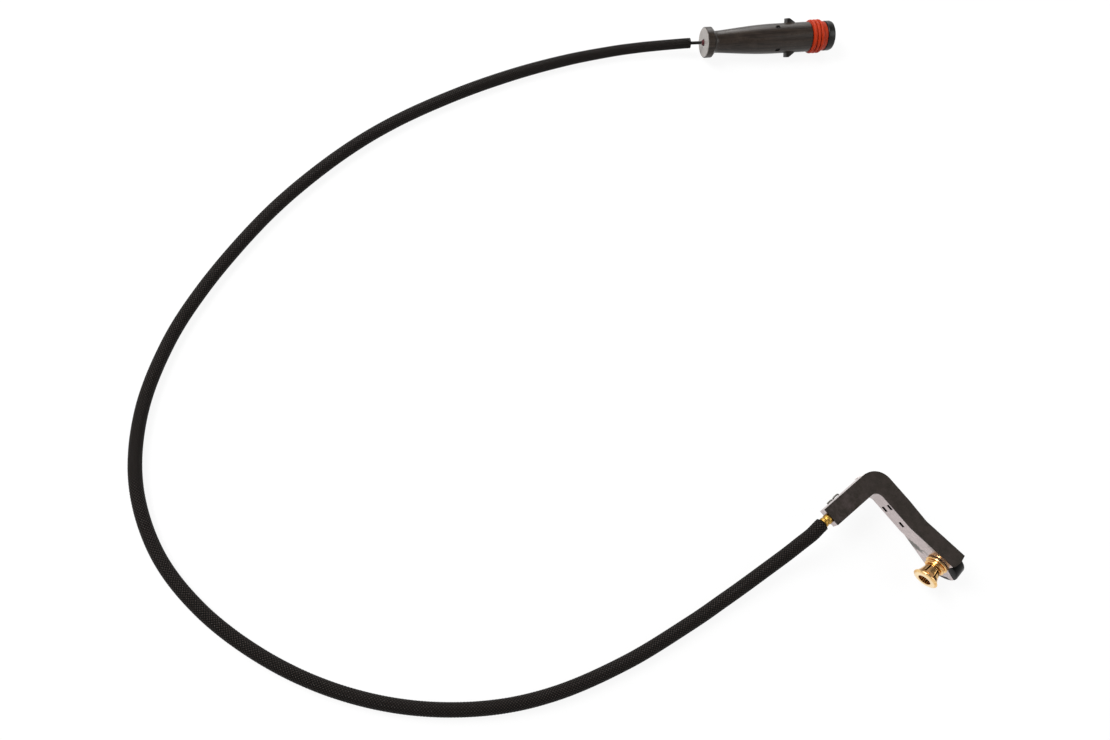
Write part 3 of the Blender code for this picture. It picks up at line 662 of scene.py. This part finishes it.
last_ring = first_cap - SLEEVE_SIDES
for side in range(SLEEVE_SIDES):
    after = (side + 1) % SLEEVE_SIDES
    faces.append((first_cap, after, side))
    faces.append((first_cap + 1, last_ring + side, last_ring + after))
sleeve_mesh = bpy.data.meshes.new("braided_sleeve")
sleeve_mesh.from_pydata(verts.tolist(), [], faces)
uv = np.zeros((len(sleeve_mesh.loops), 2))
quads = np.arange((ROUTE_RINGS - 1) * SLEEVE_SIDES)
ring_of = quads // SLEEVE_SIDES
side_of = quads % SLEEVE_SIDES
u_low = along[ring_of] / BUNDLE_PITCH
u_high = along[ring_of + 1] / BUNDLE_PITCH
v_low = side_of / SLEEVE_SIDES * BUNDLES
v_high = (side_of + 1) / SLEEVE_SIDES * BUNDLES
for loop, corner in enumerate(((u_low, v_low), (u_low, v_high), (u_high, v_high), (u_high, v_low))):
    uv[loop:4 * len(quads):4] = np.stack(corner, 1)
sleeve_mesh.uv_layers.new(name="UVMap").data.foreach_set("uv", uv.ravel())
braided_sleeve = bpy.data.objects.new("braided_sleeve", sleeve_mesh)
scene.collection.objects.link(braided_sleeve)
crisp(braided_sleeve, SLEEVE_SHARP)
sleeve_mesh.materials.append(braid_cloth())
put(braided_sleeve, "sleeve_cloth", "sleeve")

# plug

CONN_LENGTH = 74.4
CONN_BARREL = 8.1
CONN_FLANGE = 8.3
CONN_FLANGE_THICK = 4.7
CONN_NECK = 5.9
SWELL = 34.7
SWELL_STEPS = 24
BACK_HOLE = 1.9
BACK_HOLE_DEEP = 3.0
SEAL_RADIUS = 9.15
SEAL_START = 61.1
SEAL_LENGTH = 8.6
SEAT_DEEP = 1.9
RIBS = 3
RIB_PITCH = 2.1
RIB_HIGH = 0.95
RIB_HALF = 0.85
RIB_STEPS = 8
LUG_START = 47.8
LUG_LENGTH = 4.6
LUG_FLAT = 1.4
LUG_ROOTED = 1.2
LUG_REACH = 10.5
LUG_HALF = 2.3
LUG_ROLL = 34.0
DIMPLE_START = 39.9
DIMPLE_LONG = 2.5
DIMPLE_WIDE = 2.2
DIMPLE_DEEP = 1.0
DIMPLE_TURNS = (130.0, 50.0, 230.0, 310.0)
SOCKET_RADIUS = 5.6
SOCKET_DEPTH = 11.0
PIN_RADIUS = 0.8
PIN_REACH = 4.8
PIN_FOOT = 4.0
PIN_APART = 4.2
GROMMET_REACH = 0.9
LEAD = 1.0
LEAD_SPREAD = 0.65
LEAD_STEPS = 12
GAP = 0.3

heading = Matrix.Rotation(math.radians(CONN_ANGLE), 4, "Z") @ quarter("Y")
back_centre = Vector((CONN_BACK[0], CONN_BACK[1], SEAL_RADIUS))
lay = ROW @ Matrix.Translation(back_centre * MM) @ heading
roll = lay @ Matrix.Rotation(math.radians(LUG_ROLL), 4, "Z")
seal_end = SEAL_START + SEAL_LENGTH
socket_floor = CONN_LENGTH - SOCKET_DEPTH
pin_foot = socket_floor - PIN_FOOT
waist = CONN_FLANGE_THICK + 2.0
seat = CONN_BARREL - SEAT_DEEP
shell_profile = [
    (BACK_HOLE, 0.0), (CONN_FLANGE - 0.6, 0.0), (CONN_FLANGE, 0.5), (CONN_FLANGE, CONN_FLANGE_THICK - 0.9),
    (CONN_FLANGE - 1.0, CONN_FLANGE_THICK), (CONN_NECK + 0.7, CONN_FLANGE_THICK + 0.3),
    (CONN_NECK + 0.2, CONN_FLANGE_THICK + 0.9), (CONN_NECK, waist)]
for step in range(1, SWELL_STEPS + 1):
    share = step / SWELL_STEPS
    widening = math.sin(share * math.pi / 2) ** 1.2
    shell_profile.append((CONN_NECK + (CONN_BARREL - CONN_NECK) * widening, waist + share * SWELL))
shell_profile += [
    (CONN_BARREL, SEAL_START - GAP - 0.3), (CONN_BARREL - 0.3, SEAL_START - GAP), (seat, SEAL_START - GAP),
    (seat, seal_end + GAP), (CONN_BARREL - 0.3, seal_end + GAP), (CONN_BARREL, seal_end + GAP + 0.3),
    (CONN_BARREL, CONN_LENGTH - 1.5), (CONN_BARREL - 0.4, CONN_LENGTH - 0.5),
    (CONN_BARREL - 1.3, CONN_LENGTH), (SOCKET_RADIUS, CONN_LENGTH), (SOCKET_RADIUS, socket_floor),
    (0.0, socket_floor), (0.0, BACK_HOLE_DEEP), (BACK_HOLE, BACK_HOLE_DEEP)]
shell = lathe("plug_shell", shell_profile, connector_plastic(*from_place(lay)), 160)
SIDEWAYS = Matrix(((0, 0, 1, 0), (0, 1, 0, 0), (1, 0, 0, 0), (0, 0, 0, 1)))       # swaps X and Z
lug_end = LUG_START + LUG_LENGTH
lug_root = CONN_BARREL - LUG_ROOTED
for side in (1, -1):
    lug_outline = (
        (LUG_START, side * lug_root), (LUG_START, side * LUG_REACH),
        (LUG_START + LUG_FLAT, side * LUG_REACH), (lug_end, side * (CONN_BARREL + 0.1)),
        (lug_end, side * lug_root))
    lug = prism("lug", lug_outline, -LUG_HALF, LUG_HALF, SIDEWAYS)
    turned = bmesh.new()                               # the swap turned its faces inside out
    turned.from_mesh(lug.data)
    bmesh.ops.recalc_face_normals(turned, faces=turned.faces)
    turned.to_mesh(lug.data)
    turned.free()
    bevel(lug, 0.25, 3)
    combine(shell, lug, "UNION")
for around in DIMPLE_TURNS:
    dimple = block("dimple", (CONN_BARREL - DIMPLE_DEEP, -DIMPLE_WIDE / 2, DIMPLE_START),
                   (CONN_BARREL + 1.0, DIMPLE_WIDE / 2, DIMPLE_START + DIMPLE_LONG))
    bevel(dimple, 0.5, 4)
    dimple.data.transform(Matrix.Rotation(math.radians(around), 4, "Z"))
    combine(shell, dimple, "DIFFERENCE")


def beside(way):
    """A pin's place in the plug: one to each side of its middle."""
    return Matrix.Translation(Vector((0.0, PIN_APART / 2 * way, 0.0)) * MM)


pin_room = PIN_RADIUS + GAP
hole_end = CONN_LENGTH - 2.0
hole_profile = ((0.0, pin_foot), (pin_room, pin_foot), (pin_room, hole_end), (0.0, hole_end))
for way in (-1.0, 1.0):
    combine(shell, lathe("hole", hole_profile, None, 32, beside(way)), "DIFFERENCE")
crisp(shell, SHARP_CUT)
shell.data.transform(roll)
put(shell, "connector_plastic", "connector_shell")

inside = seat + GAP
collar = SEAL_RADIUS - 1.15
seal_profile = [(inside, SEAL_START), (SEAL_RADIUS - 1.0, SEAL_START)]
for index in range(RIBS):
    base = SEAL_START + 0.15 + index * RIB_PITCH
    for step in range(RIB_STEPS + 1):
        t = math.pi * step / RIB_STEPS
        seal_profile.append((SEAL_RADIUS - RIB_HIGH + RIB_HIGH * math.sin(t) ** 0.7,
                             base + 0.1 + RIB_HALF * (1 - math.cos(t))))
    seal_profile.append((SEAL_RADIUS - 1.05, base + 2.0))
seal_profile += [
    (collar, SEAL_START + 6.6), (collar, seal_end - 0.3), (collar - 0.3, seal_end), (inside, seal_end)]
rubber = seal_rubber("seal_rubber", (0.37, 0.027, 0.004), (0.25, 0.016, 0.002))
seal = put(lathe("ribbed_seal", seal_profile, rubber, 128, lay, SHARP_RIBBED), "seal_rubber", "seal_ring")

grommet_profile = soft_profile((
    (0.0, -GROMMET_REACH), (1.1, -GROMMET_REACH), (1.5, -0.5), (1.6, 0.0), (1.6, 2.7), (0.0, 2.7)))
dark_rubber = seal_rubber("grommet_rubber", (0.075, 0.016, 0.018), (0.045, 0.010, 0.012))
grommet = put(lathe("grommet", grommet_profile, dark_rubber, 48, lay), "seal_rubber", "lead_grommet")

tin = plain_metal("pin_metal", (0.72, 0.71, 0.68), (0.60, 0.59, 0.56), 0.28)
pin_start = pin_foot + GAP
pin_end = socket_floor + PIN_REACH
pin_profile = soft_profile((
    (0.0, pin_start), (PIN_RADIUS, pin_start), (PIN_RADIUS, pin_end - 0.8), (PIN_RADIUS * 0.5, pin_end),
    (0.0, pin_end)))
for name, way in (("terminal_pin_a", -1.0), ("terminal_pin_b", 1.0)):
    pin = lathe("plug_" + name, pin_profile, tin, 32, roll @ beside(way))
    put(pin, "pin_metal", name)

covering = lead_rubber()
sleeve_end = Vector(ROUTE[-1])
last_run = sleeve_end - Vector(ROUTE[-2])
plug_axis = Vector((math.cos(math.radians(CONN_ANGLE)), math.sin(math.radians(CONN_ANGLE)), 0.0))
lead_start = sleeve_end + last_run.normalized() * GAP
lead_end = back_centre - plug_axis * (GROMMET_REACH + GAP)
for name, lift in (("lead_upper", LEAD_SPREAD), ("lead_lower", -LEAD_SPREAD)):
    raised = Vector((0.0, 0.0, lift))
    lead_spots = []
    for step in range(LEAD_STEPS + 1):
        lead_spots.append(lead_start.lerp(lead_end, step / LEAD_STEPS) + raised)
    put(thread("bare_" + name, LEAD, lead_spots, covering), "lead_rubber", name)

# bracket: head, contact, bush, ring, ferrule, clip wires

SHEET = 0.8
KNEE_X = 19.0
KNEE = 7.0
HEAD_RADIUS = 9.1
HEAD_AT = (23.9, 9.1)
HEAD_BACK = 6.9
HEAD_ROUND = 1.2
HEAD_STEPS = 8
WALL_TOP = 18.9
WALL_LOW = 9.2
LOW_START = 2.5
ROUND_END = 7.5
ROUND_AT = (22.9, 8.2)
ROUND_STOP = -15.0
ROUND_STEPS = 30
TAB = ((32.0, 6.9), (32.7, 7.7), (32.6, 8.8), (31.9, 9.7), (29.6, 10.9), (27.2, 12.6), (26.0, 14.2),
       (25.7, 15.8))
BUSH_AT = (21.9, 10.9)
STEM_RADIUS = 2.5
STEM_REACH = 6.6
CONTACT_RADIUS = 1.3
CONTACT_LENGTH = 3.0
RIM_RADIUS = 5.95
RIM_REACH = 11.0
TUBE_RADIUS = 3.6
BUSH_BORE = 2.9
MOUTH = 0.25
SHOULDER_RADIUS = 5.3
SHOULDER_THICK = 1.1
SLOTS = 6
SLOT_FIRST = 15.0
SLOT_HALF = 0.4
RING_RADIUS = 4.75
RING_THICK = 0.9
RING_START = 2.4
RING_ROUND = 0.4
RING_STEPS = 12
FERRULE_X = -8.0
FERRULE_Z = 16.9
FERRULE_RADIUS = 2.0
FERRULE_REACH = 4.3
SHORT_END_Y = -27.0
OUTER_X = -12.6
CLIP_WIRE = 0.8
CLIP_STEPS = 24
CLIP_WIRES = (("clip_wire_lower", -22.9, -20.1, 0.25), ("clip_wire_upper", -19.2, -15.8, 0.45))
KNEE_TURN = (Matrix.Translation(Vector((KNEE_X * MM, 0.0, 0.0)))
             @ Matrix.Rotation(math.radians(KNEE), 4, "Z"))


def through_end(at):
    """A place on the long arm's end, its Z pointing out of the wall."""
    place = Matrix.Translation(Vector((at[0], 0.0, at[1])) * MM)
    return ROW @ KNEE_TURN @ place @ quarter("X")


def on_arm_face(along_knee, height):
    spot = ROW @ KNEE_TURN @ Vector((along_knee * MM, 0.0, height * MM))
    return tuple(spot)


def grown(outline, amount):
    """The outline moved outwards by an amount, corner by corner."""
    count = len(outline)
    area = 0.0
    for index in range(count):
        here = outline[index]
        after = outline[(index + 1) % count]
        area += here[0] * after[1] - after[0] * here[1]
    side = 1.0 if area > 0 else -1.0
    moved = []
    for index in range(count):
        before = Vector(outline[index - 1])
        here = Vector(outline[index])
        after = Vector(outline[(index + 1) % count])
        first = (here - before).normalized()
        second = (after - here).normalized()
        out = Vector((first.y + second.y, -first.x - second.x)).normalized() * side
        lean = max(out.dot(Vector((first.y, -first.x)) * side), 0.5)
        spot = here + out * (amount / lean)
        moved.append((spot.x, spot.y))
    return moved


# The sheet's darker grey patches: place, size in metres, strength, stretch along the arm
DARK_PATCHES = ((on_arm_face(9.4, 8.2), 0.0023, 0.88, 0.38), (on_arm_face(14.6, 10.4), 0.0013, 0.40, 0.6),
          (on_arm_face(14.5, 18.2), 0.0016, 0.35, 0.3))
BUSH_FOOT = on_arm_face(BUSH_AT[0], BUSH_AT[1])

on_bush = through_end(BUSH_AT)
on_head = through_end(HEAD_AT)
on_plate = ROW @ KNEE_TURN @ quarter("X")
inset = SHEET + GAP
head_side = HEAD_RADIUS - HEAD_ROUND
head_profile = [(0.0, -HEAD_BACK), (head_side, -HEAD_BACK)]
for step in range(1, HEAD_STEPS + 1):
    t = math.pi / 2 * step / HEAD_STEPS
    head_profile.append((head_side + HEAD_ROUND * math.sin(t), -HEAD_BACK + HEAD_ROUND * (1 - math.cos(t))))
head_profile += [(HEAD_RADIUS, -0.5), (HEAD_RADIUS - 0.15, -0.15), (HEAD_RADIUS - 0.5, 0.0), (0.0, 0.0)]
head = lathe("glossy_head", head_profile, gloss_moulding(), 128, on_head)
far = math.hypot(ROUND_AT[0] - LOW_START, ROUND_AT[1] - WALL_LOW)
slope = math.atan2(ROUND_AT[1] - WALL_LOW, ROUND_AT[0] - LOW_START) - math.asin(ROUND_END / far)
plate = [(0.0, WALL_LOW), (LOW_START, WALL_LOW)]
for step in range(ROUND_STEPS + 1):
    t = slope - math.pi / 2 + (math.radians(ROUND_STOP) - slope + math.pi / 2) * step / ROUND_STEPS
    plate.append((ROUND_AT[0] + ROUND_END * math.cos(t), ROUND_AT[1] + ROUND_END * math.sin(t)))
plate += list(TAB) + [(TAB[-1][0], WALL_TOP), (0.0, WALL_TOP)]
combine(head, prism("plate_room", grown(plate, GAP), -inset, 2.0, on_plate), "DIFFERENCE")
stem_profile = ((0.0, -inset - 2.0), (STEM_RADIUS, -inset - 2.0), (STEM_RADIUS, STEM_REACH - 0.4),
                (STEM_RADIUS - 0.4, STEM_REACH), (0.0, STEM_REACH))
combine(head, lathe("stem", stem_profile, None, 64, on_bush), "UNION")
pocket = CONTACT_RADIUS + GAP
pocket_floor = STEM_REACH - CONTACT_LENGTH - GAP
pocket_end = STEM_REACH + 1.0
pocket_profile = ((0.0, pocket_floor), (pocket, pocket_floor), (pocket, pocket_end), (0.0, pocket_end))
combine(head, lathe("pocket", pocket_profile, None, 48, on_bush), "DIFFERENCE")
crisp(head, SHARP_CUT)
put(head, "head_plastic", "sensor_head")

# painted shade: the contact's copper is painted dark, standing in for the shade deep in the bush's bore
shaded_copper = plain_metal("contact_metal", (0.42, 0.20, 0.11), (0.28, 0.12, 0.065), 0.45)
contact_start = STEM_REACH - CONTACT_LENGTH
contact_profile = soft_profile((
    (0.0, contact_start), (CONTACT_RADIUS, contact_start), (CONTACT_RADIUS, STEM_REACH), (0.0, STEM_REACH)))
put(lathe("stem_contact", contact_profile, shaded_copper, 48, on_bush), "contact_metal", "wear_contact")

neck = TUBE_RADIUS
shoulder = GAP + SHOULDER_THICK
ring_end = RING_START + RING_THICK
bush_profile = [
    (BUSH_BORE, GAP), (SHOULDER_RADIUS - 0.3, GAP), (SHOULDER_RADIUS, GAP + 0.3),
    (SHOULDER_RADIUS, shoulder - 0.3), (SHOULDER_RADIUS - 0.3, shoulder), (neck + 0.15, shoulder),
    (neck, shoulder + 0.2), (neck, ring_end), (neck + 0.15, RIM_REACH - 6.6), (neck + 0.4, RIM_REACH - 5.6),
    (neck + 0.7, RIM_REACH - 4.4), (neck + 1.05, RIM_REACH - 3.3), (neck + 1.5, RIM_REACH - 2.4),
    (RIM_RADIUS - 0.45, RIM_REACH - 1.7), (RIM_RADIUS - 0.1, RIM_REACH - 1.35), (RIM_RADIUS, RIM_REACH - 1.1),
    (RIM_RADIUS, RIM_REACH - 0.85), (RIM_RADIUS - 0.35, RIM_REACH - 0.45),
    (RIM_RADIUS - 1.0, RIM_REACH - 0.15), (RIM_RADIUS - 1.7, RIM_REACH), (BUSH_BORE + MOUTH, RIM_REACH),
    (BUSH_BORE, RIM_REACH - MOUTH)]
gold = brass("bush_brass", (0.91, 0.62, 0.29), (0.66, 0.36, 0.11), 0.17,
             from_place(on_bush), BUSH_BORE * MM, RIM_REACH * MM)
bush = lathe("flared_bush", soft_profile(bush_profile), gold, 128, on_bush)
for step in range(SLOTS):
    around = Matrix.Rotation(math.radians(360.0 / SLOTS * step + SLOT_FIRST), 4, "Z")
    cut = block("cut", (BUSH_BORE - 1.0, -SLOT_HALF, ring_end + 0.6),
                (RIM_RADIUS + 2.0, SLOT_HALF, RIM_REACH - 2.4), on_bush @ around)
    combine(bush, cut, "DIFFERENCE")
crisp(bush, SHARP_CUT)
put(bush, "bush_brass", "contact_bush")

ring_profile = [(neck + GAP, RING_START)]
for step in range(RING_STEPS + 1):
    t = math.pi * step / RING_STEPS
    ring_profile.append((RING_RADIUS - RING_ROUND + RING_ROUND * math.sin(t),
                         RING_START + RING_THICK / 2 * (1 - math.cos(t))))
ring_profile.append((neck + GAP, ring_end))
put(lathe("second_ring", ring_profile, gold, 128, on_bush, SHARP_RIBBED), "bush_brass", "bush_ring")

ferrule_place = Matrix.Translation(Vector((FERRULE_X, 0.0, FERRULE_Z)) * MM)
along_arm = ROW @ ferrule_place @ quarter("X")
arm_end = -SHORT_END_Y
ferrule_foot = arm_end - SHEET - GAP
ferrule_end = arm_end + FERRULE_REACH
wide = FERRULE_RADIUS + 0.5
ferrule_profile = (
    (0.0, ferrule_foot), (FERRULE_RADIUS, ferrule_foot), (FERRULE_RADIUS, arm_end + GAP),
    (wide, arm_end + GAP), (wide, arm_end + 1.7), (wide - 0.4, arm_end + 2.1),
    (wide - 0.4, arm_end + 2.6), (wide - 0.1, arm_end + 2.9), (wide - 0.1, ferrule_end - 0.3),
    (wide - 0.4, ferrule_end), (0.0, ferrule_end))
deep_gold = brass("ferrule_brass", (0.50, 0.30, 0.065), (0.25, 0.14, 0.030), 0.38)
ferrule = lathe("ferrule", soft_profile(ferrule_profile, 3), deep_gold, 96, along_arm)
put(ferrule, "bush_brass", "lead_ferrule")

dull_wire = wire_steel()
beside_wall = OUTER_X - GAP - CLIP_WIRE / 2
for name, low, high, reach in CLIP_WIRES:
    wire_spots = []
    for step in range(CLIP_STEPS + 1):
        t = math.pi * step / CLIP_STEPS
        wire_spots.append(Vector((beside_wall - reach * math.sin(t),
                                  (low + high) / 2 - (high - low) / 2 * math.cos(t),
                                  FERRULE_Z + 0.2 + 0.6 * math.sin(t))))
    put(thread("small_" + name, CLIP_WIRE, wire_spots, dull_wire), "wire_steel", name)

EDGE_ANGLE = 40              # degrees, edges over it get a fine bevel
dressed = (("carrier_plate", carrier_steel(), 0.12), ("cable_guide", black_moulding(), 0.22))
for node, surface, width in dressed:
    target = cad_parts[node]
    target.data.materials.clear()
    target.data.materials.append(surface)
    change = target.modifiers.new("edge", "BEVEL")
    change.width = width * MM
    change.segments = 2
    change.limit_method = "ANGLE"
    change.angle_limit = math.radians(EDGE_ANGLE)
    change.use_clamp_overlap = True

# floor and light, in metres

FLOOR_HALF = 3.0
FLOOR_LEVEL = -0.00005
FLOOR_GREY = 0.82
FLOOR_GLOW = 0.90            # how much of the floor is plain white to the camera
ROOM = (0.35, 0.85, 0.60, 0.16)                # height from and to, light low and weaker overhead
BACKDROP = (0.30, 0.45)                        # height over which the white backdrop ends
LIT_PLACE = (-0.15, -0.04, 0.0)
LAMPS = (("key", (-1.0, -0.5, 1.1), 0.7, 27.5), ("fill", (0.7, 0.9, 1.1), 0.9, 8.0),
         ("edge", (-1.05, 0.75, 0.45), 0.7, 8.0))

ground = bpy.data.meshes.new("floor")
ground.from_pydata([(-FLOOR_HALF, -FLOOR_HALF, FLOOR_LEVEL), (FLOOR_HALF, -FLOOR_HALF, FLOOR_LEVEL),
                    (FLOOR_HALF, FLOOR_HALF, FLOOR_LEVEL), (-FLOOR_HALF, FLOOR_HALF, FLOOR_LEVEL)],
                   [], [(0, 1, 2, 3)])
ground_object = bpy.data.objects.new("floor", ground)
scene.collection.objects.link(ground_object)
paint = bpy.data.materials.new("floor")
paint.use_nodes = True
coat = Graph(paint.node_tree)
coat.tree.nodes.clear()
surface_out = coat.add("ShaderNodeOutputMaterial")
matt = coat.add("ShaderNodeBsdfDiffuse")
matt.inputs["Color"].default_value = (FLOOR_GREY, FLOOR_GREY, FLOOR_GREY, 1)
glow = coat.add("ShaderNodeEmission")
glow.inputs["Color"].default_value = (1, 1, 1, 1)
glow.inputs["Strength"].default_value = 1.0
blend = coat.add("ShaderNodeMixShader")
coat.link(coat.seen(FLOOR_GLOW), blend.inputs[0])
coat.link(matt.outputs[0], blend.inputs[1])
coat.link(glow.outputs[0], blend.inputs[2])
coat.link(blend.outputs[0], surface_out.inputs["Surface"])
ground.materials.append(paint)

world = bpy.data.worlds.new("studio")
scene.world = world
world.use_nodes = True
sky = Graph(world.node_tree)
background = sky.tree.nodes["Background"]
background.inputs["Color"].default_value = (1.0, 1.0, 1.0, 1.0)
upward = sky.axes(sky.where("Generated"))[2]
strength = sky.add("ShaderNodeMix")
sky.link(sky.seen(sky.below(upward, *BACKDROP)), strength.inputs["Factor"])
sky.link(sky.span(upward, *ROOM, True), strength.inputs[2])
strength.inputs[3].default_value = 1.0
sky.link(strength.outputs[0], background.inputs["Strength"])


def lamp(name, spot, size, power):
    light = bpy.data.lights.new(name, "AREA")
    light.shape = "RECTANGLE"
    light.size = size
    light.size_y = size
    light.energy = power
    holder = bpy.data.objects.new(name, light)
    scene.collection.objects.link(holder)
    holder.location = spot
    holder.rotation_euler = (Vector(LIT_PLACE) - Vector(spot)).to_track_quat("-Z", "Y").to_euler()


for name, spot, size, power in LAMPS:
    lamp(name, spot, size, power)
